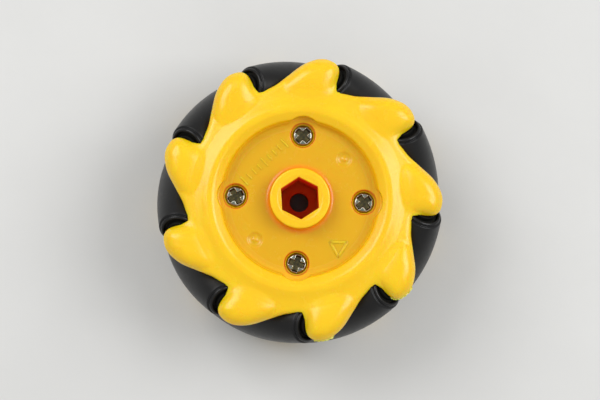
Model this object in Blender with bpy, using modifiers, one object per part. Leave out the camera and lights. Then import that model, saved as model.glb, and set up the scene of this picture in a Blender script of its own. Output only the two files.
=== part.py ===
"""Mecanum wheel, 48 mm: a two-piece moulded hub that carries nine barrel rollers at 45 degrees.

The wheel's axis is +Z and its outer face looks up. The origin is the wheel's centre,
on its axis and midway between its two faces. Lengths are in metres.
"""

import math

import bmesh
import bpy
from mathutils import Matrix, Vector

MM = 0.001

# ---- driving dimensions -------------------------------------------------------------------
ROLLERS = 9
PITCH = 2 * math.pi / ROLLERS
WHEEL_R = 24.0 * MM  # wheel radius over the rollers
AXIS_R = 19.25 * MM  # distance of a roller's axis from the wheel's axis
SLANT = math.radians(45)  # roller axis against the wheel's axis, a left-hand wheel
FIRST = math.radians(12.1)  # angle of the first roller's middle
HALF_RUBBER = 11.5 * MM  # half the length of the rubber barrel
RIM_FILLET = 0.6 * MM
END_GAP = 0.45 * MM  # running gap between a roller's end and its lobe
SIDE_GAP = 0.45 * MM  # running gap round a roller's side

CORE_R = 2.4 * MM
CORE_BORE = 1.1 * MM
CORE_COLLAR_R = 1.8 * MM
BOND = 0.05 * MM  # modelling gap between the rubber and its core
PIN_R = 1.0 * MM
PIN_HALF = 13.2 * MM
PIN_SEAT = 0.1 * MM

HALF_WIDTH = 11.3 * MM  # wheel's middle to either face
SPLIT = 0.15 * MM  # wheel's middle to either half's joint face
BOSS_R = 5.0 * MM
BOSS_TOP = 11.2 * MM
FLOOR_Z = 8.3 * MM  # dish floor
FLOOR_UNDER = 6.8 * MM
DISH_R = 13.0 * MM
DRUM_INNER_R = 12.1 * MM
HEX_FLATS = 6.1 * MM
HEX_TURN = math.radians(33.3)  # angle of one corner of the hexagon
WEB = 2.0 * MM  # web that closes the hexagon socket, in the inner half
WEB_HOLE_R = 1.6 * MM

SCREWS = 4
SCREW_PCR = 10.7 * MM
SCREW_TURN = math.radians(-2.8)
SCREW_SEAT_Z = 6.4 * MM
SCREW_HEAD_R = 1.75 * MM
SCREW_SHANK_R = 1.0 * MM
SCREW_TIP_Z = -6.0 * MM
POST_R = 2.5 * MM

# One lobe of the hub's outline, anticlockwise: (degrees from the first lobe's foot, radius in mm).
# A steep flank faces the roller's end, then a round tip, then a long slope over the next roller.
FOOT = math.radians(28.5)
LOBE = (
    (0.0, 19.00),
    (2.5, 19.25),
    (3.2, 20.80),
    (4.3, 22.50),
    (7.2, 23.50),
    (11.2, 23.76),
    (15.5, 23.42),
    (20.5, 22.40),
    (27.0, 20.60),
    (33.0, 19.52),
)

YELLOW = (0.93, 0.58, 0.03, 1)
BLACK = (0.012, 0.012, 0.013, 1)
GRAPHITE = (0.02, 0.02, 0.022, 1)
STEEL = (0.62, 0.62, 0.60, 1)
ZINC = (0.66, 0.64, 0.55, 1)


# ---- scene -------------------------------------------------------------------------------
for old in list(bpy.data.objects):
    bpy.data.objects.remove(old)

wheel = bpy.data.collections.new("mecanum_wheel")
cutters = bpy.data.collections.new("cutters")
for collection in (wheel, cutters):
    bpy.context.scene.collection.children.link(collection)


def material(name, colour, roughness, metallic=0.0):
    made = bpy.data.materials.new(name)
    made.use_nodes = True
    shader = made.node_tree.nodes["Principled BSDF"]
    shader.inputs["Base Color"].default_value = colour
    shader.inputs["Roughness"].default_value = roughness
    shader.inputs["Metallic"].default_value = metallic
    return made


HUB = material("hub_plastic", YELLOW, 0.3)
RUBBER = material("roller_rubber", BLACK, 0.6)
CORE = material("roller_core", GRAPHITE, 0.45)
PIN = material("pin_steel", STEEL, 0.3, 1.0)
SCREW = material("screw_steel", ZINC, 0.3, 1.0)


def new_object(name, mesh, paint=None):
    """A mesh object in the wheel, or a hidden cutter if it has no paint."""
    made = bpy.data.objects.new(name, mesh)
    if paint is None:
        cutters.objects.link(made)
        made.hide_render = True
        made.display_type = "WIRE"
    else:
        wheel.objects.link(made)
        mesh.materials.append(paint)
    return made


def empty(name, location, rotation):
    made = bpy.data.objects.new(name, None)
    made.location = location
    made.rotation_euler = rotation
    made.empty_display_size = 2 * MM
    wheel.objects.link(made)
    return made


def turned(name, profile, steps, paint=None, ring=False):
    """A body of revolution about Z. The profile, (radius, height), runs down its outer side; ring closes it on itself."""
    mesh = bpy.data.meshes.new(name)
    points = [(r, 0, z) for r, z in profile]
    edges = [(i, i + 1) for i in range(len(points) - 1)]
    if ring:
        edges.append((len(points) - 1, 0))
    mesh.from_pydata(points, edges, [])
    made = new_object(name, mesh, paint)
    screw = made.modifiers.new("turn", "SCREW")
    screw.axis = "Z"
    screw.angle = 2 * math.pi
    screw.steps = screw.render_steps = steps
    screw.use_merge_vertices = True
    screw.merge_threshold = 1e-6
    return made


def cylinder(name, radius, low, high, segments, paint=None):
    mesh = bpy.data.meshes.new(name)
    shape = bmesh.new()
    bmesh.ops.create_cone(
        shape, cap_ends=True, segments=segments, radius1=radius, radius2=radius,
        depth=high - low, matrix=Matrix.Translation((0, 0, (low + high) / 2)),
    )
    shape.to_mesh(mesh)
    shape.free()
    return new_object(name, mesh, paint)


def combine(target, operation, *others):
    for other in others:
        step = target.modifiers.new(f"{operation.lower()} {other.name}", "BOOLEAN")
        step.operation = operation
        step.solver = "EXACT"
        step.object = other
    return target


def frozen(made):
    """The object with its modifiers applied."""
    bpy.context.view_layer.update()
    graph = bpy.context.evaluated_depsgraph_get()
    mesh = bpy.data.meshes.new_from_object(made.evaluated_get(graph))
    made.modifiers.clear()
    made.data = mesh
    return made


def shade(made, degrees=35):
    made.data.shade_smooth()
    made.data.set_sharp_from_angle(angle=math.radians(degrees))


# ---- roller geometry -----------------------------------------------------------------------
def barrel_radius(s):
    """Radius of the barrel at s along its axis, so that it just touches the wheel's cylinder from inside."""
    low, high = 0.0, WHEEL_R - AXIS_R
    for _ in range(40):
        r = (low + high) / 2
        reach = max(
            math.hypot(
                AXIS_R + r * math.cos(a),
                s * math.sin(SLANT) - r * math.sin(a) * math.cos(SLANT),
            )
            for a in [math.radians(d) for d in range(-90, 91, 3)]
        )
        low, high = (r, high) if reach < WHEEL_R else (low, r)
    return (low + high) / 2


def roller_angle(k):
    return FIRST + k * PITCH


def roller_frame(k):
    """Matrix whose Z runs along roller k's axis, up and anticlockwise, and whose X points away from the wheel's axis."""
    return (
        Matrix.Rotation(roller_angle(k), 4, "Z")
        @ Matrix.Translation((AXIS_R, 0, 0))
        @ Matrix.Rotation(-SLANT, 4, "X")
    )


def barrel_profile(grow, half, fillet, stations):
    """Outer side of the barrel, top to bottom: fillet, barrel, fillet."""
    side = [half - fillet - i * (half - fillet) / stations for i in range(stations + 1)]
    top = [(barrel_radius(s) + grow, s) for s in side]
    edge = top[0][0]
    arc = [
        (edge - fillet * (1 - math.sin(a)), half - fillet * (1 - math.cos(a)))
        for a in [math.radians(d) for d in (0, 45)]
    ]
    upper = arc + top
    return upper + [(r, -z) for r, z in reversed(upper[:-1])]


def swept_down(name, frame, profile, segments, drop):
    """Convex cutter: a turned shape in its frame, swept towards -Z by drop."""
    shape = bmesh.new()
    for r, z in profile:
        for i in range(segments):
            a = 2 * math.pi * i / segments
            p = frame @ Vector((r * math.cos(a), r * math.sin(a), z))
            shape.verts.new(p)
            shape.verts.new(p - Vector((0, 0, drop)))
    found = bmesh.ops.convex_hull(shape, input=shape.verts)
    inside = {v for v in found["geom_interior"] + found["geom_unused"] if isinstance(v, bmesh.types.BMVert)}
    bmesh.ops.delete(shape, geom=list(inside), context="VERTS")
    bmesh.ops.recalc_face_normals(shape, faces=shape.faces)
    mesh = bpy.data.meshes.new(name)
    shape.to_mesh(mesh)
    shape.free()
    return new_object(name, mesh)


# ---- hub -----------------------------------------------------------------------------------
def outline(per_span):
    """The lobed outline: a closed Catmull-Rom curve through every lobe's stations."""
    stations = [
        (FOOT + math.radians(d) + k * PITCH, r * MM) for k in range(ROLLERS) for d, r in LOBE
    ]
    knots = [Vector((r * math.cos(a), r * math.sin(a))) for a, r in stations]
    points = []
    for i in range(len(knots)):
        a, b, c, d = (knots[(i + j) % len(knots)] for j in (-1, 0, 1, 2))
        for j in range(per_span):
            t = j / per_span
            points.append(
                0.5 * (2 * b + (c - a) * t + (2 * a - 5 * b + 4 * c - d) * t * t
                       + (3 * b - 3 * c + d - a) * t * t * t)
            )
    return points


def lobed_prism(name, low, high, rounding):
    """The outline as a flat curve, extruded with rounded edges and turned into a mesh."""
    flat = bpy.data.curves.new(name, "CURVE")
    flat.dimensions = "2D"
    flat.fill_mode = "BOTH"
    flat.extrude = (high - low) / 2 - rounding
    flat.bevel_depth = rounding
    flat.bevel_resolution = 0
    flat.offset = -rounding
    points = outline(1)
    spline = flat.splines.new("POLY")
    spline.points.add(len(points) - 1)
    for point, p in zip(spline.points, points):
        point.co = (p.x, p.y, 0, 1)
    spline.use_cyclic_u = True
    drawn = bpy.data.objects.new(name + "_curve", flat)
    cutters.objects.link(drawn)
    drawn.location.z = (low + high) / 2
    bpy.context.view_layer.update()
    graph = bpy.context.evaluated_depsgraph_get()
    mesh = bpy.data.meshes.new_from_object(drawn.evaluated_get(graph))
    mesh.transform(drawn.matrix_world)
    bpy.data.objects.remove(drawn)
    shape = bmesh.new()
    shape.from_mesh(mesh)
    bmesh.ops.remove_doubles(shape, verts=shape.verts, dist=1e-6)
    bmesh.ops.recalc_face_normals(shape, faces=shape.faces)
    shape.to_mesh(mesh)
    shape.free()
    return new_object(name, mesh)


def hub_half(name, outer):
    """One hub half in the outer half's place. The inner half is turned over afterwards."""
    def mirrored(angle):
        return angle if outer else 2 * FIRST - angle

    blank = [
        (0, HALF_WIDTH), (16.2 * MM, HALF_WIDTH), (20.4 * MM, 11.0 * MM), (22.3 * MM, 10.1 * MM),
        (23.4 * MM, 8.8 * MM), (23.8 * MM, 7.2 * MM), (23.2 * MM, 4.9 * MM), (20.0 * MM, 2.2 * MM),
        (14.8 * MM, SPLIT), (0, SPLIT),
    ]
    half = turned(name, blank, 36, HUB)
    combine(half, "INTERSECT", lobed_prism(name + "_outline", -1 * MM, HALF_WIDTH + 0.02 * MM, 1.1 * MM))

    running = barrel_profile(SIDE_GAP, HALF_RUBBER + END_GAP, 0.3 * MM, 2)
    seat = [(PIN_R + PIN_SEAT, s) for s in (PIN_HALF + PIN_SEAT, HALF_RUBBER - 1 * MM)]
    for k in range(ROLLERS):
        combine(half, "DIFFERENCE", swept_down(f"{name}_roller_room_{k + 1}", roller_frame(k), running, 16, 16 * MM))
        combine(half, "DIFFERENCE", swept_down(f"{name}_pin_slot_{k + 1}", roller_frame(k), seat, 12, 16 * MM))

    dish = [
        (15.7 * MM, 12.4 * MM), (14.9 * MM, 11.35 * MM), (14.45 * MM, 10.6 * MM), (14.1 * MM, 9.5 * MM),
        (13.6 * MM, 8.7 * MM), (DISH_R, FLOOR_Z), (BOSS_R + 0.3 * MM, FLOOR_Z), (BOSS_R, FLOOR_Z + 0.3 * MM),
        (BOSS_R, 12.4 * MM),
    ]
    combine(half, "DIFFERENCE", turned(name + "_dish", dish, 45, ring=True))

    cavity = [
        (DRUM_INNER_R, FLOOR_UNDER), (DRUM_INNER_R, -1 * MM), (BOSS_R, -1 * MM), (BOSS_R, FLOOR_UNDER),
    ]
    hollow = turned(name + "_cavity", cavity, 36, ring=True)
    for i in range(SCREWS):
        angle = mirrored(SCREW_TURN + i * math.pi / 2)
        place = (SCREW_PCR * math.cos(angle), SCREW_PCR * math.sin(angle), 0)
        post = cylinder(f"{name}_post_{i + 1}", POST_R, -2 * MM, 9 * MM, 14)
        post.location = place
        combine(hollow, "DIFFERENCE", post)
        if outer:
            steps = [
                (3.0 * MM, 12.6 * MM), (3.0 * MM, FLOOR_Z + 0.02 * MM), (2.2 * MM, FLOOR_Z + 0.02 * MM),
                (2.2 * MM, SCREW_SEAT_Z), (1.15 * MM, SCREW_SEAT_Z), (1.15 * MM, -2 * MM),
            ]
        else:
            steps = [(1.05 * MM, -SCREW_TIP_Z + 1 * MM), (1.05 * MM, -2 * MM)]
        hole = turned(f"{name}_screw_hole_{i + 1}", [(0, steps[0][1]), *steps, (0, steps[-1][1])], 16)
        hole.location = place
        combine(half, "DIFFERENCE", hole)
    combine(half, "DIFFERENCE", hollow)

    socket = cylinder(
        name + "_socket", HEX_FLATS / math.sqrt(3), -2 * MM if outer else SPLIT + WEB, 12.8 * MM, 6
    )
    # the first side point of the six-sided cylinder lies on +Y
    socket.rotation_euler.z = mirrored(HEX_TURN) - math.pi / 2
    combine(half, "DIFFERENCE", socket)
    trim = turned(name + "_boss_trim", [(0, 12.8 * MM), (BOSS_R + 0.15 * MM, 12.8 * MM), (BOSS_R + 0.15 * MM, BOSS_TOP), (0, BOSS_TOP)], 45)
    combine(half, "DIFFERENCE", trim)
    if outer:
        for i, angle in enumerate((math.radians(42.1), math.radians(222.1))):
            dimple = cylinder(f"{name}_dimple_{i + 1}", 1.25 * MM, FLOOR_Z - 0.2 * MM, 9 * MM, 16)
            dimple.location = (10.0 * MM * math.cos(angle), 10.0 * MM * math.sin(angle), 0)
            combine(half, "DIFFERENCE", dimple)
    else:
        combine(half, "DIFFERENCE", cylinder(name + "_web_hole", WEB_HOLE_R, -2 * MM, 12.8 * MM, 16))
    frozen(half)
    if not outer:
        over = Vector((math.cos(FIRST), math.sin(FIRST), 0))
        half.data.transform(Matrix.Rotation(math.pi, 4, over))
    shade(half)
    return half


hub_half("hub_front", True)
hub_half("hub_back", False)

# ---- screws --------------------------------------------------------------------------------
for i in range(SCREWS):
    angle = SCREW_TURN + i * math.pi / 2
    place = empty(
        f"screw_{i + 1}_place",
        (SCREW_PCR * math.cos(angle), SCREW_PCR * math.sin(angle), SCREW_SEAT_Z + 0.03 * MM),
        (0, 0, angle + (0.75, 0.28, 1.05, 0.35)[i]),
    )
    tip = SCREW_TIP_Z - SCREW_SEAT_Z
    shape = [
        (0, 1.2 * MM), (0.8 * MM, 1.15 * MM), (1.4 * MM, 0.9 * MM), (SCREW_HEAD_R, 0.4 * MM),
        (SCREW_HEAD_R, 0), (SCREW_SHANK_R, 0), (SCREW_SHANK_R, tip + 1.2 * MM), (0.3 * MM, tip), (0, tip),
    ]
    screw = turned(f"screw_{i + 1}", shape, 14, SCREW)
    screw.parent = place
    for j, turn in enumerate((0, math.pi / 2)):
        slot_mesh = bpy.data.meshes.new("recess")
        slot = bmesh.new()
        bmesh.ops.create_cube(
            slot, size=1,
            matrix=Matrix.Rotation(turn, 4, "Z") @ Matrix.Translation((0, 0, 1.0 * MM))
            @ Matrix.Diagonal((2.1 * MM, 0.5 * MM, 1.2 * MM, 1)),
        )
        slot.to_mesh(slot_mesh)
        slot.free()
        cutter = new_object(f"screw_{i + 1}_recess_{j + 1}", slot_mesh)
        cutter.parent = place
        combine(screw, "DIFFERENCE", cutter)
    shade(frozen(screw), 30)

# ---- rollers -------------------------------------------------------------------------------
for k in range(ROLLERS):
    frame = roller_frame(k)
    axis = empty(f"roller_{k + 1}_axis", frame.to_translation(), frame.to_euler())
    bore = CORE_R + BOND
    rubber = turned(
        f"roller_rubber_{k + 1}",
        [*barrel_profile(0, HALF_RUBBER, RIM_FILLET, 3), (bore, -HALF_RUBBER), (bore, HALF_RUBBER)],
        16, RUBBER, ring=True,
    )
    flank, nose = HALF_RUBBER - 0.3 * MM, HALF_RUBBER + 0.35 * MM
    core = turned(
        f"roller_core_{k + 1}",
        [
            (CORE_COLLAR_R, nose), (CORE_COLLAR_R, flank), (CORE_R, flank), (CORE_R, -flank),
            (CORE_COLLAR_R, -flank), (CORE_COLLAR_R, -nose), (CORE_BORE, -nose), (CORE_BORE, nose),
        ],
        12, CORE, ring=True,
    )
    pin = turned(
        f"roller_pin_{k + 1}",
        [
            (0, PIN_HALF), (PIN_R - 0.2 * MM, PIN_HALF), (PIN_R, PIN_HALF - 0.2 * MM),
            (PIN_R, -PIN_HALF + 0.2 * MM), (PIN_R - 0.2 * MM, -PIN_HALF), (0, -PIN_HALF),
        ],
        12, PIN,
    )
    for piece in (rubber, core, pin):
        piece.parent = axis
        shade(frozen(piece), 40)
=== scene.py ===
import math

import bmesh
import bpy
import numpy as np
from mathutils import Matrix, Vector


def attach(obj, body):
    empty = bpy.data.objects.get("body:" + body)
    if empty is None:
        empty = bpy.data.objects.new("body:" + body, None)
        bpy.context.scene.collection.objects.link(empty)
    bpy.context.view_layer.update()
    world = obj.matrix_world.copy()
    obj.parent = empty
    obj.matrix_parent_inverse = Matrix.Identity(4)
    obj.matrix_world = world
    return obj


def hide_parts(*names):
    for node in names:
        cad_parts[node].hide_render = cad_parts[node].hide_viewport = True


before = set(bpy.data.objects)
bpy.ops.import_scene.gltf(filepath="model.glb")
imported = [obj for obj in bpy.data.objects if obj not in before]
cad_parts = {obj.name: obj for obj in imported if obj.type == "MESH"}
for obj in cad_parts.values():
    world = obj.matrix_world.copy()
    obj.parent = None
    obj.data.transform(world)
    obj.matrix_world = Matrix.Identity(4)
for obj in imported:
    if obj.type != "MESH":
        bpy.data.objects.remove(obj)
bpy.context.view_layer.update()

MM = 0.001

# Sizes in millimetres, as the design states them.
ROLLERS = 9
PITCH = 2 * math.pi / ROLLERS
WHEEL_R = 24.0
AXIS_R = 19.25
SLANT = math.radians(45)
FIRST = math.radians(12.1)
HALF_RUBBER = 11.5
END_PLANE = 11.63
BOSS_R, BOSS_TOP = 5.0, 11.2
FLOOR_Z, FLOOR_UNDER = 8.3, 6.8
HEX_FLATS, HEX_TURN = 6.1, math.radians(33.3)
SCREW_PCR, SCREW_TURN, SCREW_SEAT = 10.7, math.radians(-2.8), 6.4
SPLIT, WEB = 0.15, 2.0
BASE_Z = -11.36


# ---- materials -----------------------------------------------------------------------------
class Nodes:
    """A material's nodes, made in few words."""

    def __init__(self, name, own=False):
        self.made = bpy.data.materials.new(name)
        self.made.use_nodes = True
        self.tree = self.made.node_tree
        self.shader = self.tree.nodes["Principled BSDF"]
        if own:  # coordinates along a roller, kept on its mesh
            self.place = self.add("ShaderNodeAttribute", attribute_name="own").outputs["Vector"]
        else:
            self.place = self.add("ShaderNodeTexCoord").outputs["Object"]

    def add(self, kind, **settings):
        node = self.tree.nodes.new(kind)
        for key, value in settings.items():
            setattr(node, key, value)
        return node

    def link(self, a, b):
        self.tree.links.new(a, b)

    def noise(self, per_mm, detail=3.0, roughness=0.55, distortion=0.0, stretch=None):
        node = self.add("ShaderNodeTexNoise")
        node.inputs["Scale"].default_value = per_mm * 1000
        node.inputs["Detail"].default_value = detail
        node.inputs["Roughness"].default_value = roughness
        node.inputs["Distortion"].default_value = distortion
        place = self.place
        if stretch:
            squeeze = self.add("ShaderNodeMapping")
            squeeze.inputs["Scale"].default_value = stretch
            self.link(place, squeeze.inputs["Vector"])
            place = squeeze.outputs["Vector"]
        self.link(place, node.inputs["Vector"])
        return node.outputs["Fac"]

    def ramp(self, factor, stops):
        node = self.add("ShaderNodeValToRGB")
        ramp = node.color_ramp
        while len(ramp.elements) < len(stops):
            ramp.elements.new(0.5)
        for element, (at, colour) in zip(ramp.elements, stops):
            element.position = at
            element.color = (*colour, 1) if len(colour) == 3 else colour
        self.link(factor, node.inputs["Fac"])
        return node.outputs["Color"]

    def spread(self, factor, low, high, start=0.3, end=0.7):
        node = self.add("ShaderNodeMapRange")
        node.inputs["From Min"].default_value = start
        node.inputs["From Max"].default_value = end
        node.inputs["To Min"].default_value = low
        node.inputs["To Max"].default_value = high
        self.link(factor, node.inputs["Value"])
        return node.outputs["Result"]

    def bump(self, height, depth_mm, strength=1.0, under=None):
        node = self.add("ShaderNodeBump")
        node.inputs["Strength"].default_value = strength
        node.inputs["Distance"].default_value = depth_mm * MM
        self.link(height, node.inputs["Height"])
        if under is not None:
            self.link(under, node.inputs["Normal"])
        return node.outputs["Normal"]

    def calc(self, operation, *values):
        node = self.add("ShaderNodeMath", operation=operation)
        for socket, value in zip(node.inputs, values):
            if isinstance(value, (int, float)):
                socket.default_value = value
            else:
                self.link(value, socket)
        return node.outputs["Value"]

    def position(self):
        """X, Y, Z and the distance from the Z axis, in millimetres."""
        split = self.add("ShaderNodeSeparateXYZ")
        self.link(self.place, split.inputs["Vector"])
        x, y, z = (self.calc("MULTIPLY", split.outputs[i], 1000.0) for i in range(3))
        flat = self.calc("ADD", self.calc("MULTIPLY", x, x), self.calc("MULTIPLY", y, y))
        return x, y, z, self.calc("SQRT", flat)

    def fade(self, value, start, end):
        """0 before start, 1 past end, smooth between. A falling fade has start above end."""
        node = self.add("ShaderNodeMapRange", interpolation_type="SMOOTHSTEP")
        low, high = (start, end) if start < end else (end, start)
        node.inputs["From Min"].default_value = low
        node.inputs["From Max"].default_value = high
        node.inputs["To Min"].default_value = 0.0 if start < end else 1.0
        node.inputs["To Max"].default_value = 1.0 if start < end else 0.0
        self.link(value, node.inputs["Value"])
        return node.outputs["Result"]

    def both(self, *masks):
        out = masks[0]
        for mask in masks[1:]:
            out = self.calc("MULTIPLY", out, mask)
        return out

    def tint(self, base, mask, colour):
        node = self.add("ShaderNodeMix", data_type="RGBA")
        self.link(mask, node.inputs["Factor"])
        self.link(base, node.inputs[6])
        node.inputs[7].default_value = (*colour, 1)
        return node.outputs[2]

    def set(self, **values):
        for key, value in values.items():
            self.shader.inputs[key.replace("_", " ")].default_value = value


def yellow_plastic(name, low, high, hub=True):
    """Glossy moulded plastic that lets some light through, with faint flow marks. On the hub the colour carries
    painted shade and glow: orange on the dish floor and wall, round the boss's foot and socket, in the screw bores and
    low down near the joint, and deep red inside the hexagon socket."""
    m = Nodes(name)
    broad = m.noise(0.11, 2.0, 0.5, 0.6)
    colour = m.ramp(broad, [(0.32, low), (0.68, high)])
    if hub:
        x, y, z, r = m.position()
        height = m.calc("ABSOLUTE", z)
        # painted shade: the dish floor darker and more orange than the rim
        floor = m.both(m.fade(r, 13.6, 12.6), m.fade(height, 10.2, 8.8))
        colour = m.tint(colour, m.calc("MULTIPLY", floor, 0.9), (0.69, 0.395, 0.002))
        # painted shade: the dish wall a little more orange
        wall = m.both(m.fade(r, 14.3, 13.4), m.fade(r, 11.9, 12.6), m.fade(height, 10.9, 9.4))
        colour = m.tint(colour, m.calc("MULTIPLY", wall, 0.35), (0.92, 0.47, 0.004))
        # painted glow: orange-red round the boss's foot, where it meets the floor
        foot = m.both(m.fade(r, 6.1, 5.15), m.fade(r, 4.6, 4.95), m.fade(height, 11.0, 10.4))
        colour = m.tint(colour, m.calc("MULTIPLY", foot, 0.75), (0.93, 0.24, 0.003))
        # painted shade: orange round the mouth of the hexagon socket
        neck = m.both(m.fade(r, 4.0, 3.45), m.fade(height, 11.3, 11.0))
        colour = m.tint(colour, m.calc("MULTIPLY", neck, 0.25), (0.95, 0.38, 0.004))
        # painted shade: orange at the socket's top, deep red further down inside it
        within = m.fade(r, 3.66, 3.52)
        colour = m.tint(colour, m.both(within, m.fade(height, 11.1, 10.6)), (0.95, 0.22, 0.001))
        colour = m.tint(colour, m.both(within, m.fade(height, 10.9, 8.0)), (0.80, 0.008, 0.0001))
        # painted shade: orange-red below 5.2 mm, under the rim and lobes
        under = m.fade(height, 6.6, 5.2)
        colour = m.tint(colour, m.calc("MULTIPLY", under, 0.5), (0.80, 0.25, 0.002))
        for i in range(4):
            turn = SCREW_TURN + i * math.pi / 2
            ax = m.calc("SUBTRACT", x, SCREW_PCR * math.cos(turn))
            ay = m.calc("SUBTRACT", y, SCREW_PCR * math.sin(turn))
            q = m.calc("SQRT", m.calc("ADD", m.calc("MULTIPLY", ax, ax), m.calc("MULTIPLY", ay, ay)))
            # painted shade in each counterbore: a dark orange-red ring on its wall and orange at its seat
            outer = m.both(m.fade(z, 0.0, 1.0), m.fade(z, 8.45, 8.3))
            ring = m.both(m.fade(q, 2.24, 2.12), m.fade(q, 1.86, 1.95), outer)
            colour = m.tint(colour, m.calc("MULTIPLY", ring, 0.92), (0.72, 0.19, 0.002))
            ledge = m.both(m.fade(q, 1.95, 1.86), outer)
            colour = m.tint(colour, m.calc("MULTIPLY", ledge, 0.9), (0.80, 0.47, 0.004))
    m.link(colour, m.shader.inputs["Base Color"])
    rough = m.spread(m.noise(0.55, 4.0, 0.6, 0.3), 0.22, 0.29)
    if hub:  # polishing does not reach into the dish's corner or the socket
        corner = m.both(m.fade(r, 11.5, 11.9), m.fade(r, 13.3, 13.0), m.fade(height, 9.7, 8.7))
        corner = m.calc("ADD", m.calc("MULTIPLY", corner, 0.5), m.calc("MULTIPLY", m.both(within, m.fade(height, 11.0, 10.4)), 0.5))
        rough = m.calc("ADD", rough, corner)
    m.link(rough, m.shader.inputs["Roughness"])
    skin = m.bump(m.noise(0.35, 2.0, 0.5), 0.05, 0.10)
    grain = m.bump(m.noise(6.0, 3.0, 0.6), 0.006, 0.2, skin)
    m.link(grain, m.shader.inputs["Normal"])
    m.set(IOR=1.46, Subsurface_Weight=0.6, Subsurface_Scale=0.0016)
    m.shader.inputs["Subsurface Radius"].default_value = (1.0, 0.38, 0.05)
    return m.made


def black_rubber():
    """Satin moulded rubber: a fine grain, a little bloom and a few specks of dust."""
    m = Nodes("tyre_rubber", True)
    bloom = m.noise(0.28, 4.0, 0.6, 0.4)
    base = m.ramp(bloom, [(0.3, (0.0045, 0.0045, 0.0048)), (0.7, (0.008, 0.008, 0.0083))])
    specks = m.add("ShaderNodeTexVoronoi", feature="F1")
    specks.inputs["Scale"].default_value = 620
    m.link(m.place, specks.inputs["Vector"])
    dust = m.ramp(specks.outputs["Distance"], [(0.035, (1, 1, 1)), (0.06, (0, 0, 0))])
    mix = m.add("ShaderNodeMix", data_type="RGBA")
    m.link(dust, mix.inputs["Factor"])
    m.link(base, mix.inputs[6])
    mix.inputs[7].default_value = (0.035, 0.035, 0.033, 1)
    x, y, z, r = m.position()
    # painted shade: the end face inside the lip is made near black
    end = m.both(m.fade(m.calc("ABSOLUTE", z), 10.7, 11.0), m.fade(r, 2.85, 2.6))
    m.link(m.tint(mix.outputs[2], end, (0.0015, 0.0015, 0.0015)), m.shader.inputs["Base Color"])
    rough = m.spread(m.noise(1.3, 4.0, 0.6), 0.31, 0.41)
    lip = m.both(m.fade(m.calc("ABSOLUTE", z), 10.6, 10.75), m.fade(r, 2.66, 2.8))
    change = m.calc("SUBTRACT", m.calc("MULTIPLY", end, 0.5), m.calc("MULTIPLY", lip, 0.08))
    m.link(m.calc("ADD", rough, change), m.shader.inputs["Roughness"])
    grain = m.bump(m.noise(9.0, 3.0, 0.7), 0.010, 0.35)
    drag = m.bump(m.noise(1.1, 3.0, 0.5, 0.0, (1, 1, 0.12)), 0.012, 0.25, grain)
    m.link(drag, m.shader.inputs["Normal"])
    m.set(IOR=1.5, Specular_IOR_Level=0.32)
    return m.made


def black_core():
    m = Nodes("core_plastic", True)
    m.link(
        m.ramp(m.noise(0.8, 3.0), [(0.3, (0.003, 0.003, 0.002)), (0.7, (0.005, 0.005, 0.004))]),
        m.shader.inputs["Base Color"],
    )
    m.link(m.spread(m.noise(2.0, 3.0), 0.6, 0.75), m.shader.inputs["Roughness"])
    m.set(Specular_IOR_Level=0.15)
    m.link(m.bump(m.noise(7.0, 2.0), 0.006, 0.3), m.shader.inputs["Normal"])
    return m.made


def bright_metal(name, low, high, rough, stretch=None, recess=None, own=False):
    """Polished or drawn metal. Given a recess colour, the recess gets painted shade, dark olive, at its bottom, a
    painted highlight along its edges, and the head's rim a painted yellow reflection.
    """
    m = Nodes(name, own)
    colour = m.ramp(m.noise(1.2, 4.0, 0.6), [(0.3, low), (0.7, high)])
    if recess:
        x, y, z, r = m.position()
        crown = m.calc("SUBTRACT", 1.22, m.calc("MULTIPLY", m.calc("MULTIPLY", r, r), 0.036))
        deep = m.both(m.fade(m.calc("SUBTRACT", crown, z), 0.12, 0.24), m.fade(r, 1.5, 1.42), m.fade(z, 0.0, 0.1))
        # painted highlight: a pale line along the edges of the cross recess
        edge = m.both(m.fade(m.calc("SUBTRACT", crown, z), 0.004, 0.03), m.fade(z, 0.0, 0.1), m.fade(r, 1.42, 1.28))
        colour = m.tint(colour, edge, (0.90, 0.91, 0.84))
        # painted reflection: the yellow bore seen in the head's rounded rim
        rim = m.both(m.fade(r, 1.52, 1.62), m.fade(z, 0.0, 0.1))
        colour = m.tint(colour, m.calc("MULTIPLY", rim, 0.7), (0.62, 0.36, 0.02))
        # painted shade: dark olive at the bottom of the recess, blended in by the deep mask
        recess_shade = m.ramp(m.noise(2.2, 3.0, 0.6), [(0.38, recess), (0.66, (0.17, 0.13, 0.03))])
        mix = m.add("ShaderNodeMix", data_type="RGBA")
        m.link(m.calc("MULTIPLY", deep, 0.95), mix.inputs["Factor"])
        m.link(colour, mix.inputs[6])
        m.link(recess_shade, mix.inputs[7])
        colour = mix.outputs[2]
    m.link(colour, m.shader.inputs["Base Color"])
    m.link(m.spread(m.noise(3.0, 4.0, 0.6, 0.0, stretch), *rough), m.shader.inputs["Roughness"])
    m.link(m.bump(m.noise(5.0, 3.0, 0.6, 0.0, stretch), 0.006, 0.35), m.shader.inputs["Normal"])
    m.set(Metallic=1.0)
    return m.made


def floor_card():
    m = Nodes("floor_card")
    m.link(
        m.ramp(m.noise(0.02, 3.0), [(0.3, (0.62, 0.62, 0.61)), (0.7, (0.66, 0.66, 0.65))]),
        m.shader.inputs["Base Color"],
    )
    m.link(m.spread(m.noise(0.5, 3.0), 0.6, 0.75), m.shader.inputs["Roughness"])
    m.link(m.bump(m.noise(1.6, 4.0, 0.6), 0.03, 0.3), m.shader.inputs["Normal"])
    return m.made


YELLOW = yellow_plastic("hub_yellow", (0.87, 0.535, 0.005), (0.89, 0.575, 0.007))
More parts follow.
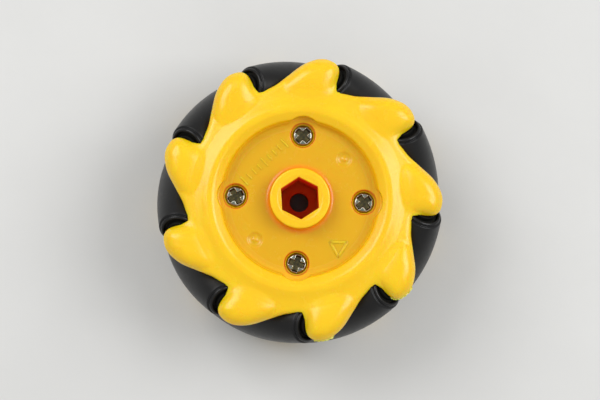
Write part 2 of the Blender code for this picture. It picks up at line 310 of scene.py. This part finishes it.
# painted shade: the marks' yellow is more orange than the hub's, to match the shaded dish floor
MARK = yellow_plastic("mark_yellow", (0.85, 0.47, 0.006), (0.88, 0.50, 0.008), False)
FLASH = yellow_plastic("flash_yellow", (0.74, 0.64, 0.05), (0.80, 0.70, 0.10), False)
RUBBER = black_rubber()
CORE = black_core()
ZINC = bright_metal("screw_zinc", (0.24, 0.26, 0.21), (0.42, 0.44, 0.38), (0.13, 0.22), None, (0.035, 0.030, 0.006))
STEEL = bright_metal("pin_drawn_steel", (0.52, 0.52, 0.51), (0.66, 0.66, 0.65), (0.2, 0.34), (1, 1, 0.05), None, True)


# ---- meshes --------------------------------------------------------------------------------
def new_object(name, mesh, paint, body=None, replaces=()):
    made = bpy.data.objects.new(name, mesh)
    bpy.context.scene.collection.objects.link(made)
    mesh.materials.append(paint)
    if body:
        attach(made, body)
    if replaces:
        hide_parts(*replaces)
    return made


def smin(a, b, k):
    h = np.maximum(k - np.abs(a - b), 0) / k
    return np.minimum(a, b) - h * h * (k * 0.25)


def smax(a, b, k):
    h = np.maximum(k - np.abs(a - b), 0) / k
    return np.maximum(a, b) + h * h * (k * 0.25)


def step01(v):
    v = np.clip(v, 0, 1)
    return v * v * (3 - 2 * v)


CORNERS = [(i, j, k) for i in (0, 1) for j in (0, 1) for k in (0, 1)]
EDGES = [(a, b) for a in CORNERS for b in CORNERS if a < b and sum(abs(p - q) for p, q in zip(a, b)) == 1]


def slope_of(field, points, reach=0.02):
    out = np.empty_like(points)
    for i in range(3):
        d = np.zeros(3)
        d[i] = reach
        ahead, behind = points + d, points - d
        out[:, i] = field(*ahead.T) - field(*behind.T)
    return out / (2 * reach)


def surface(name, field, low, high, step, settle=3):
    """The closed surface where the field is zero, as a quad mesh in metres with smooth normals. The field is negative inside."""
    axes = [np.arange(a, b + step, step) for a, b in zip(low, high)]
    shape = [len(a) for a in axes]
    values = np.empty(shape, np.float32)
    for i, x in enumerate(axes[0]):
        y, z = np.meshgrid(axes[1], axes[2], indexing="ij")
        values[i] = field(np.full_like(y, x), y, z)
    inside = values < 0
    count = np.zeros([n - 1 for n in shape], np.int8)
    for i, j, k in CORNERS:
        count += inside[i : shape[0] - 1 + i, j : shape[1] - 1 + j, k : shape[2] - 1 + k]
    live = (count > 0) & (count < 8)
    number = np.full(live.shape, -1, np.int64)
    cells = np.argwhere(live)
    number[live] = np.arange(len(cells))
    place, hits = np.zeros((len(cells), 3)), np.zeros(len(cells))
    for a, b in EDGES:
        va = values[tuple((cells + a).T)].astype(float)
        vb = values[tuple((cells + b).T)].astype(float)
        crossed = (va < 0) != (vb < 0)
        t = np.where(crossed, va / np.where(crossed, va - vb, 1), 0)
        place += np.where(crossed[:, None], np.array(a) + t[:, None] * (np.array(b) - np.array(a)), 0)
        hits += crossed
    points = np.array(low) + step * (cells + place / hits[:, None])
    quads = []
    for axis in range(3):
        ahead = [slice(None)] * 3
        behind = [slice(None)] * 3
        ahead[axis], behind[axis] = slice(1, None), slice(None, -1)
        rising = inside[tuple(behind)] & ~inside[tuple(ahead)]
        falling = ~inside[tuple(behind)] & inside[tuple(ahead)]
        one, two = [(1, 2), (2, 0), (0, 1)][axis]
        for mask, turn in ((rising, False), (falling, True)):
            at = np.argwhere(mask)
            ring = []
            for p, q in ((-1, -1), (0, -1), (0, 0), (-1, 0)):
                c = at.copy()
                c[:, one] += p
                c[:, two] += q
                ring.append(number[tuple(c.T)])
            ring = np.stack(ring, 1)
            quads.append(ring[:, ::-1] if turn else ring)
    quads = np.concatenate(quads)
    for _ in range(settle):
        g = slope_of(field, points)
        length = np.maximum(np.linalg.norm(g, axis=1), 0.2)
        move = field(*points.T) / length
        points -= g / length[:, None] * np.clip(move, -0.4 * step, 0.4 * step)[:, None]
    normals = slope_of(field, points, step * 0.22)
    normals /= np.maximum(np.linalg.norm(normals, axis=1), 1e-9)[:, None]
    mesh = bpy.data.meshes.new(name)
    mesh.vertices.add(len(points))
    mesh.vertices.foreach_set("co", (points * MM).astype(np.float32).ravel())
    mesh.loops.add(len(quads) * 4)
    mesh.loops.foreach_set("vertex_index", quads.astype(np.int32).ravel())
    mesh.polygons.add(len(quads))
    mesh.polygons.foreach_set("loop_start", np.arange(0, len(quads) * 4, 4, dtype=np.int32))
    mesh.update(calc_edges=True)
    mesh.validate()
    mesh.shade_smooth()
    return mesh, normals


def turned(name, profile, segments):
    """A body of revolution about Z from a closed (radius, height) ring in millimetres."""
    shape = bmesh.new()
    rings = []
    for i in range(segments):
        a = 2 * math.pi * i / segments
        rings.append([
            shape.verts.new((r * math.cos(a) * MM, r * math.sin(a) * MM, z * MM)) for r, z in profile
        ])
    n = len(profile)
    for i in range(segments):
        here, there = rings[i], rings[(i + 1) % segments]
        for j in range(n):
            k = (j + 1) % n
            face = [here[j], here[k], there[k], there[j]]
            shape.faces.new(face)
    bmesh.ops.remove_doubles(shape, verts=shape.verts, dist=1e-8)
    bmesh.ops.recalc_face_normals(shape, faces=shape.faces)
    mesh = bpy.data.meshes.new(name)
    shape.to_mesh(mesh)
    shape.free()
    mesh.shade_smooth()
    mesh.set_sharp_from_angle(angle=math.radians(50))
    return mesh


def rounded(corner, before, after, radius, steps=5):
    """Points of a fillet at a profile's corner."""
    c, a, b = (np.array(v, float) for v in (corner, before, after))
    u, v = (a - c) / np.linalg.norm(a - c), (b - c) / np.linalg.norm(b - c)
    half = math.acos(float(np.clip(u @ v, -1, 1))) / 2
    reach = radius / math.tan(half)
    start, end = c + u * reach, c + v * reach
    centre = c + (u + v) / np.linalg.norm(u + v) * radius / math.sin(half)
    out = []
    for i in range(steps + 1):
        t = i / steps
        p = start * (1 - t) + end * t - centre
        out.append(tuple(centre + p / np.linalg.norm(p) * radius))
    return out


def softened(ring, radii):
    """A closed profile with each corner filleted by its own radius."""
    out = []
    for i, (corner, radius) in enumerate(zip(ring, radii)):
        if radius:
            out += rounded(corner, ring[i - 1], ring[(i + 1) % len(ring)], radius)
        else:
            out.append(corner)
    return out


def roller_frame(k):
    return (
        Matrix.Rotation(FIRST + k * PITCH, 4, "Z")
        @ Matrix.Translation((AXIS_R * MM, 0, 0))
        @ Matrix.Rotation(-SLANT, 4, "X")
    )


def barrel(s):
    return WHEEL_R - np.sqrt(AXIS_R**2 + (s * math.sin(SLANT)) ** 2)


# ---- hub -----------------------------------------------------------------------------------
LIP = 10.72  # where the barrel steps down to the lip at its end
LIP_R = 3.02
TIP_TURN = math.radians(26.4)  # a lobe's middle, from the middle of its roller
BASE_AT, BASE_R = (25.1, 2.95), 8.7  # the arc of the lobe's base, in the frame of its middle
FOOT = math.radians(28.5)
# One lobe of the outline, anticlockwise from its foot: degrees and radius.
LOBE = (
    (0.0, 19.08), (1.5, 19.13), (2.3, 19.28), (2.85, 19.62), (3.3, 20.25), (3.6, 21.20), (4.05, 22.20), (5.0, 22.95),
    (7.2, 23.58), (11.2, 23.84), (15.5, 23.54), (20.5, 22.54), (27.0, 20.77), (33.0, 19.57), (37.5, 19.18),
)
BAND = (
    (0.0, 15.2, 15.45, 15.8, 16.3, 16.8, 17.4, 18.2, 19.0, 20.0, 24.0),
    (11.14, 11.14, 11.10, 10.99, 10.80, 10.64, 10.50, 10.38, 10.28, 10.08, 9.2),
)
WALL = (
    (6.80, 8.20, 8.40, 10.15, 10.30, 10.42, 10.95, 11.06, 11.13, 11.16, 11.6),
    (12.1, 12.48, 12.60, 13.10, 13.20, 13.36, 14.22, 14.46, 14.72, 14.95, 16.4),
)


def outline_points(per_span=24):
    """The lobed outline as points in the plane: a closed Catmull-Rom curve through every lobe's stations."""
    at = [(FOOT + math.radians(d) + k * PITCH, r) for k in range(ROLLERS) for d, r in LOBE]
    knots = np.array([(r * math.cos(a), r * math.sin(a)) for a, r in at])
    t = (np.arange(per_span) / per_span)[:, None, None]
    a, b, c, d = (np.roll(knots, -j, axis=0)[None] for j in (-1, 0, 1, 2))
    points = 0.5 * (2 * b + (c - a) * t + (2 * a - 5 * b + 4 * c - d) * t**2 + (3 * b - 3 * c + d - a) * t**3)
    return points.transpose(1, 0, 2).reshape(-1, 2)


class Outline:
    """Signed distance to the lobed outline, kept over one lobe's sector and read by interpolation."""

    LOW, HIGH, ROWS, COLUMNS = 9.0, 27.0, 361, 481

    def __init__(self):
        points = outline_points()
        turn, far = np.arctan2(points[:, 1], points[:, 0]), np.hypot(points[:, 0], points[:, 1])
        order = np.argsort(turn)
        turn, far = turn[order], far[order]
        r = np.linspace(self.LOW, self.HIGH, self.ROWS)[:, None]
        a = np.linspace(0, PITCH, self.COLUMNS)[None, :] + FIRST
        x, y = r * np.cos(a), r * np.sin(a)
        near = points[np.abs(np.mod(np.arctan2(points[:, 1], points[:, 0]) - FIRST - PITCH / 2 + math.pi, 2 * math.pi) - math.pi) < PITCH * 1.1]
        best = np.full(x.shape, 1e9)
        for px, py in near:
            best = np.minimum(best, (x - px) ** 2 + (y - py) ** 2)
        edge = np.interp(np.mod(a + math.pi, 2 * math.pi) - math.pi, turn, far, period=2 * math.pi)
        self.table = np.sqrt(best) * np.where(r < edge, -1, 1)

    def __call__(self, r, a):
        i = np.clip((r - self.LOW) / (self.HIGH - self.LOW) * (self.ROWS - 1), 0, self.ROWS - 1.001)
        j = np.clip(a / PITCH * (self.COLUMNS - 1), 0, self.COLUMNS - 1.001)
        m, n = i.astype(int), j.astype(int)
        i, j = i - m, j - n
        t = self.table
        return (t[m, n] * (1 - i) + t[m + 1, n] * i) * (1 - j) + (t[m, n + 1] * (1 - i) + t[m + 1, n + 1] * i) * j


OUTLINE = Outline()


def hub_field(front):
    def mirrored(angle):
        return angle if front else 2 * FIRST - angle

    screw_turn = mirrored(SCREW_TURN)
    hex_turn = mirrored(HEX_TURN)
    root2 = math.sqrt(2)

    def room(px, u, s, grow, reach):
        """A barrel's own space and everything below it."""
        drop = np.where(u > 0, np.minimum(u, np.maximum(reach - s, 0)), 0)
        space = None
        for v, t, low in ((u - drop, s + drop, step01((0.6 - u + drop) / 0.6)), (u, s, 1.0)):
            size = barrel(t) + grow - 0.19 * step01((t - 8.0) / 1.5)
            size = np.where(t > LIP + 0.25, LIP_R + 0.11, size)
            far = np.hypot(px, v)
            cap = reach - 0.24 * step01((far - 1.95) / 0.3) * low
            part = smax(far - size, t - cap, 0.3)
            space = part if space is None else np.minimum(space, part)
        return space

    def field(x, y, z):
        r = np.hypot(x, y)
        th = np.arctan2(y, x)
        a = np.mod(th - FIRST, PITCH)

        # ring: a flat rim, a slope outwards and an outline that narrows towards the joint
        edge = OUTLINE(r, a)
        flare = 4.2 * (1 - step01((z - 5.0) / 4.4))
        top = np.interp(r, *BAND)
        body = smax(z - top, (edge + flare) * 0.85, 1.0)

        # lobes: pillows that rise from a curved base line on the ring and round off at the outline
        for turn in (0, PITCH):
            rel = a + turn
            lx, ly = r * np.cos(rel - TIP_TURN), r * np.sin(rel - TIP_TURN)
            g = BASE_R - np.hypot(lx - BASE_AT[0], ly - BASE_AT[1])
            rise = np.where(g > 0, 0.62 * (1 - np.exp(-np.maximum(g, 0) / 1.7)), 0.36 * g)
            crown = np.maximum(top, 10.38) + rise + 0.22 * step01(g / 3.0) - 0.030 * np.clip(lx - 20.4, 0, 4.2) ** 2
            long = step01((ly - 0.3) / 1.4)
            crown = crown - (0.085 - 0.055 * long) * np.clip(edge + 3.2, 0, 3.8) ** 2 * step01(g / 2.0 + 0.2)
            pillow = smax((z - crown) * 0.92, (edge + flare) * 0.95, 1.6 + 0.9 * long)
            near = np.hypot(lx - 19.3, ly - 2.4) - 7.5
            pillow = np.maximum(pillow, near)
            if not turn:
                px, tt = r * np.cos(rel) - AXIS_R, r * np.sin(rel)
                u, s = (tt - z) / root2, (tt + z) / root2
                ear = smax(np.hypot(px, u) - 3.4, s - 15.0, 1.4)
                ear = smax(ear, 10.0 - s, 0.3)
                ear = smax(ear, edge + 0.25, 0.8)
                ear = smax(ear, z - 9.4, 0.6)
                pillow = smin(pillow, ear, 0.6)
            body = smin(body, pillow, 0.10)
        body = smax(body, edge * 0.95 - 0.02, 0.35)

        # the rollers' rooms and the pins' slots
        for turn in (0, -PITCH):
            rel = a + turn
            px, tt = r * np.cos(rel) - AXIS_R, r * np.sin(rel)
            u, s = (tt - z) / root2, (tt + z) / root2
            body = smax(body, -room(px, u, s, 0.27, END_PLANE), 0.2)
            drop = np.where(u > 0, np.minimum(u, np.maximum(13.4 - s, 0)), 0)
            slot = np.maximum(np.hypot(px, u - drop) - 1.1, s + drop - 13.4)
            slot = np.maximum(slot, 9.0 - s)
            body = smax(body, -slot, 0.12)

        # dish, floor, boss and posts
        body = smax(body, (np.interp(z, *WALL) - r) * 0.9, 0.12)
        floor = np.maximum(np.maximum(z - FLOOR_Z, FLOOR_UNDER - z), r - 13.2)
        b = np.mod(th - screw_turn + math.pi / 4, math.pi / 2) - math.pi / 4
        q = np.hypot(r * np.cos(b) - SCREW_PCR, r * np.sin(b))
        floor = smin(floor, np.maximum(q - 2.5, z - 7.5), 0.4)
        body = smin(body, floor, 0.4)
        crown = BOSS_TOP - 0.09 * step01((3.98 - r) / 0.5)
        boss = smax(r - BOSS_R, z - crown, 0.3)
        body = smin(body, boss, 0.8)

        # hexagon socket
        hexagon = np.full_like(r, -9.0)
        for i in range(3):
            turn = hex_turn + math.radians(30 + 60 * i)
            hexagon = np.maximum(hexagon, np.abs(x * math.cos(turn) + y * math.sin(turn)) - HEX_FLATS / 2)
        if not front:
            hexagon = np.maximum(hexagon, SPLIT + WEB - z)
            body = smax(body, -(r - 1.6), 0.1)
        body = smax(body, -hexagon, 0.12)

        # screw holes
        if front:
            body = smax(body, -smax(q - 3.0, FLOOR_Z + 0.22 - z, 0.2), 0.18)
            well = np.interp(z, (7.42, 7.56, 8.3), (1.74, 1.90, 2.09))
            body = smax(body, -np.maximum(q - well, SCREW_SEAT - z), 0.1)
            body = smax(body, -(q - 1.2), 0.1)
            for turn in (math.radians(42.1), math.radians(222.1)):
                e = np.hypot(x - 10.0 * math.cos(turn), y - 10.0 * math.sin(turn))
                pit = FLOOR_Z - 0.30 * np.clip(1 - (e / 1.25) ** 4, 0, 1) + 0.26 * np.exp(-((e / 0.36) ** 2))
                body = smax(body, -np.maximum(e - 1.25, pit - z), 0.12)
        else:
            body = smax(body, -np.maximum(q - 1.15, z - 7.2), 0.1)
        return smax(body, SPLIT - z, 0.1)

    return field


def hub_half(name, front, node):
    step = 0.19
    edge = 24.2
    mesh, normals = surface(name, hub_field(front), (-edge, -edge, -0.3), (edge, edge, 11.9), step)
    if not front:
        over = Matrix.Rotation(math.pi, 4, Vector((math.cos(FIRST), math.sin(FIRST), 0)))
        mesh.transform(over)
        normals = normals @ np.array(over.to_3x3()).T
    mesh.normals_split_custom_set_from_vertices([tuple(n) for n in normals])
    print(name, len(mesh.polygons), "faces")
    return new_object(name, mesh, YELLOW, "hub", (node,))


hub_half("outer_hub_moulding", True, "hub_front")
hub_half("inner_hub_moulding", False, "hub_back")


# ---- marks in the dish ------------------------------------------------------------------------
def bars(name, places, thick):
    """Low raised bars on the dish floor: (x, y, turn, long, wide) each, in millimetres."""
    shape = bmesh.new()
    for x, y, turn, long, wide in places:
        made = bmesh.ops.create_cube(shape, size=1, matrix=(
            Matrix.Translation((x * MM, y * MM, (FLOOR_Z + thick / 2 - 0.15) * MM))
            @ Matrix.Rotation(turn, 4, "Z")
            @ Matrix.Diagonal((long * MM, wide * MM, (thick + 0.3) * MM, 1))
        ))
        edges = {e for v in made["verts"] for e in v.link_edges}
        bmesh.ops.bevel(shape, geom=list(edges), offset=0.09 * MM, segments=3, affect="EDGES", profile=0.5)
    mesh = bpy.data.meshes.new(name)
    shape.to_mesh(mesh)
    shape.free()
    mesh.shade_smooth()
    return new_object(name, mesh, MARK, "hub")


def mark_row():
    along, out = math.radians(133.5), 8.55
    cx, cy = out * math.cos(along), out * math.sin(along)
    side = along - math.pi / 2
    places = []
    for i in range(9):
        at = (i - 4) * 1.15
        long = 1.9 if i % 4 == 0 else 1.2
        places.append((cx + at * math.cos(side), cy + at * math.sin(side), along, long, 0.32))
    return bars("dish_tick_row", places, 0.14)


mark_row()


def triangle_mark():
    """A raised triangle drawn in three strokes."""
    turn, out = math.radians(-51), 10.25
    cx, cy = out * math.cos(turn), out * math.sin(turn)
    places = []
    for i in range(3):
        a = turn + math.radians(20 + 120 * i)
        places.append((cx + 0.82 * math.cos(a), cy + 0.82 * math.sin(a), a + math.pi / 2, 3.0, 0.45))
    return bars("dish_turn_mark", places, 0.12)


triangle_mark()


# ---- moulding flash --------------------------------------------------------------------------
def flash(name, start, end, seed):
    """A ragged thin fin along the outline, between two angles, where the mould's halves met."""
    points = outline_points(40)
    turn = np.degrees(np.arctan2(points[:, 1], points[:, 0]))
    along = points[(turn > start) & (turn < end)]
    along = along[np.argsort(np.degrees(np.arctan2(along[:, 1], along[:, 0])))]
    way = np.gradient(along, axis=0)
    side = np.stack([way[:, 1], -way[:, 0]], 1) / np.linalg.norm(way, axis=1)[:, None]
    i = np.arange(len(along)) * 0.37 + seed
    ragged = 0.09 + 0.05 * np.sin(i) + 0.04 * np.sin(2.7 * i + 1.3) + 0.03 * np.sin(6.1 * i + 0.4)
    ragged *= np.clip(np.minimum(np.arange(len(along)), np.arange(len(along))[::-1]) / 6.0, 0.15, 1)
    shape = bmesh.new()
    rows = []
    for p, n, w, j in zip(along, side, ragged, i):
        inner, tip = p - n * 0.5, p + n * max(w, 0.015)
        tip *= min(1, 23.95 / np.linalg.norm(tip))
        z = 8.95 + 0.05 * math.sin(0.8 * j)
        rows.append([shape.verts.new((q[0] * MM, q[1] * MM, h * MM)) for q, h in (
            (inner, z + 0.10), (tip, z + 0.02), (tip, z - 0.02), (inner, z - 0.10))])
    for a, b in zip(rows, rows[1:]):
        for j in range(4):
            shape.faces.new((a[j], a[(j + 1) % 4], b[(j + 1) % 4], b[j]))
    shape.faces.new(rows[0])
    shape.faces.new(rows[-1][::-1])
    bmesh.ops.recalc_face_normals(shape, faces=shape.faces)
    mesh = bpy.data.meshes.new(name)
    shape.to_mesh(mesh)
    shape.free()
    mesh.shade_smooth()
    mesh.set_sharp_from_angle(angle=math.radians(40))
    return new_object(name, mesh, FLASH, "hub")


flash("lobe_flash_1", -84.5, -76.0, 0.0)
flash("lobe_flash_2", -47.5, -38.0, 2.1)


# ---- screws ----------------------------------------------------------------------------------
def screw_field(x, y, z):
    r = np.hypot(x, y)
    crown = 1.22 - 0.036 * r**2
    head = smax(smax(r - 1.66, z - crown, 0.42), -z, 0.12)
    turn = np.arctan2(y, x) / (2 * math.pi)
    thread = np.abs(np.mod(z / 0.5 - turn, 1.0) - 0.5) * 2
    shank = r - (0.82 + 0.26 * np.clip(thread * 1.6 - 0.6, 0, 1))
    shank = np.maximum(shank * 0.8, (r * 0.8 - (z + 12.6)) * 0.7)
    shank = np.maximum(shank, z - 0.4)
    body = smin(head, shank, 0.12)
    deep = 1.22 - z
    arm = 1.46 - 0.55 * deep
    wide = 0.50 - 0.14 * deep
    cross = np.minimum(
        np.maximum(np.abs(x) - arm, np.abs(y) - wide), np.maximum(np.abs(y) - arm, np.abs(x) - wide)
    )
    heart = (np.abs(x) + np.abs(y)) / math.sqrt(2) - (0.73 - 0.30 * deep)
    recess = np.maximum(smin(cross, heart, 0.1), 0.52 - z + 0.10 * r)
    return smax(body, -recess * 0.9, 0.10)


def screws():
    step = 0.075
    mesh, normals = surface("phillips_screw", screw_field, (-2.1, -2.1, -12.8), (2.1, 2.1, 1.4), step, 2)
    mesh.normals_split_custom_set_from_vertices([tuple(n) for n in normals])
    print("screw", len(mesh.polygons), "faces")
    for i in range(4):
        angle = SCREW_TURN + i * math.pi / 2
        own = mesh if i == 0 else mesh.copy()
        screw = bpy.data.objects.new(f"phillips_screw_{i + 1}", own)
        bpy.context.scene.collection.objects.link(screw)
        if i == 0:
            own.materials.append(ZINC)
        screw.location = (
            SCREW_PCR * math.cos(angle) * MM, SCREW_PCR * math.sin(angle) * MM, (SCREW_SEAT + 0.03) * MM,
        )
        screw.rotation_euler.z = math.radians((36, 45, 29, 72)[i])
        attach(screw, "hub")
        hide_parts(f"screw_{i + 1}")


screws()


# ---- rollers ---------------------------------------------------------------------------------
def tyre_profile():
    """Ring of (radius, height): end face, rounded lip, groove, barrel, and the same at the other end."""
    bore, shelf, end = 2.45, HALF_RUBBER - 0.75, HALF_RUBBER - 0.22
    upper = [(bore, shelf)]
    upper += rounded((bore + 0.1, end), (bore + 0.02, shelf), (LIP_R, end), 0.12, 3)
    upper += rounded((LIP_R, end), (bore + 0.1, end), (LIP_R, LIP), 0.3, 7)
    upper += rounded((LIP_R - 0.03, LIP + 0.02), (LIP_R, end), (LIP_R + 0.3, LIP - 0.02), 0.07, 3)
    shoulder = float(barrel(LIP - 0.1))
    upper += rounded((shoulder, LIP - 0.03), (LIP_R, LIP), (float(barrel(LIP - 1.0)), LIP - 1.0), 0.16, 4)
    count = 15
    side = [((LIP - 0.45) * (1 - i / count)) for i in range(count + 1)]
    upper += [(float(barrel(s)), s) for s in side]
    return upper + [(r, -z) for r, z in reversed(upper[:-1])]


def core_profile():
    flank, nose = HALF_RUBBER - 0.75, HALF_RUBBER + 0.05
    ring = [(1.1, nose), (1.85, nose), (1.85, flank), (2.4, flank), (2.4, -flank), (1.85, -flank), (1.85, -nose), (1.1, -nose)]
    return softened(ring, [0.12, 0.15, 0.08, 0.12, 0.12, 0.08, 0.15, 0.12])


def pin_profile():
    ring = [(0.0005, 13.2), (1.0, 13.2), (1.0, -13.2), (0.0005, -13.2)]
    return softened(ring, [0, 0.22, 0.22, 0])


def rollers():
    segments = 96
    tyre, core, pin = (
        turned("tyre", tyre_profile(), segments), turned("core", core_profile(), 64), turned("pin", pin_profile(), 40),
    )
    for k in range(ROLLERS):
        spin = Matrix.Rotation(0.7 * k, 4, "Z")
        for mesh, name, paint, slot, body, node in (
            (tyre, "roller_tyre", RUBBER, "roller_rubber", f"roller_{k + 1}", "roller_rubber"),
            (core, "roller_tube", CORE, "roller_core", f"roller_{k + 1}", "roller_core"),
            (pin, "roller_axle", STEEL, "pin_steel", "hub", "roller_pin"),
        ):
            shape = mesh.copy()
            points = np.zeros(len(shape.vertices) * 3, np.float32)
            shape.vertices.foreach_get("co", points)
            shape.attributes.new("own", "FLOAT_VECTOR", "POINT").data.foreach_set("vector", points)
            shape.transform(roller_frame(k) @ spin)
            shape.materials.append(paint)
            piece = bpy.data.objects.new(f"{name}_{k + 1}", shape)
            bpy.context.scene.collection.objects.link(piece)
            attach(piece, body)
            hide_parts(f"{node}_{k + 1}")


rollers()


# ---- floor, camera and light --------------------------------------------------------------------
def floor():
    shape = bmesh.new()
    bmesh.ops.create_grid(shape, x_segments=8, y_segments=8, size=1.5, matrix=Matrix.Translation((0, 0, BASE_Z * MM)))
    mesh = bpy.data.meshes.new("floor")
    shape.to_mesh(mesh)
    shape.free()
    made = bpy.data.objects.new("floor", mesh)
    bpy.context.scene.collection.objects.link(made)
    mesh.materials.append(floor_card())


floor()


def camera():
    aim = Vector((0.000153, 0.000417, 0))
    away = Vector((-math.sin(math.radians(0.8)), -math.sin(math.radians(3.8)), 1)).normalized()
    lens = bpy.data.cameras.new("camera")
    lens.lens, lens.sensor_width, lens.clip_start = 134, 36, 0.01
    made = bpy.data.objects.new("camera", lens)
    bpy.context.scene.collection.objects.link(made)
    right = Vector((0, 1, 0)).cross(away).normalized()
    made.matrix_world = Matrix.Translation(aim + away * 0.38) @ Matrix((right, away.cross(right), away)).transposed().to_4x4()
    bpy.context.scene.camera = made


camera()


def softbox(name, azimuth, elevation, distance, size, power, colour=(1, 1, 1)):
    a, e = math.radians(azimuth), math.radians(elevation)
    at = Vector((math.cos(a) * math.cos(e), math.sin(a) * math.cos(e), math.sin(e))) * distance
    light = bpy.data.lights.new(name, "AREA")
    light.shape = "RECTANGLE"
    light.size, light.size_y = size
    light.energy = power
    light.color = colour
    made = bpy.data.objects.new(name, light)
    bpy.context.scene.collection.objects.link(made)
    made.location = at
    made.rotation_euler = at.to_track_quat("Z", "Y").to_euler()


softbox("softbox_right", 14, 49, 0.55, (0.32, 0.32), 1.6)
softbox("softbox_left", 143, 49, 0.55, (0.32, 0.32), 1.45)

world = bpy.data.worlds.new("studio")
bpy.context.scene.world = world
world.use_nodes = True
world.node_tree.nodes["Background"].inputs["Color"].default_value = (0.95, 0.95, 0.94, 1)
world.node_tree.nodes["Background"].inputs["Strength"].default_value = 0.52
bpy.context.scene.view_settings.view_transform = "Standard"
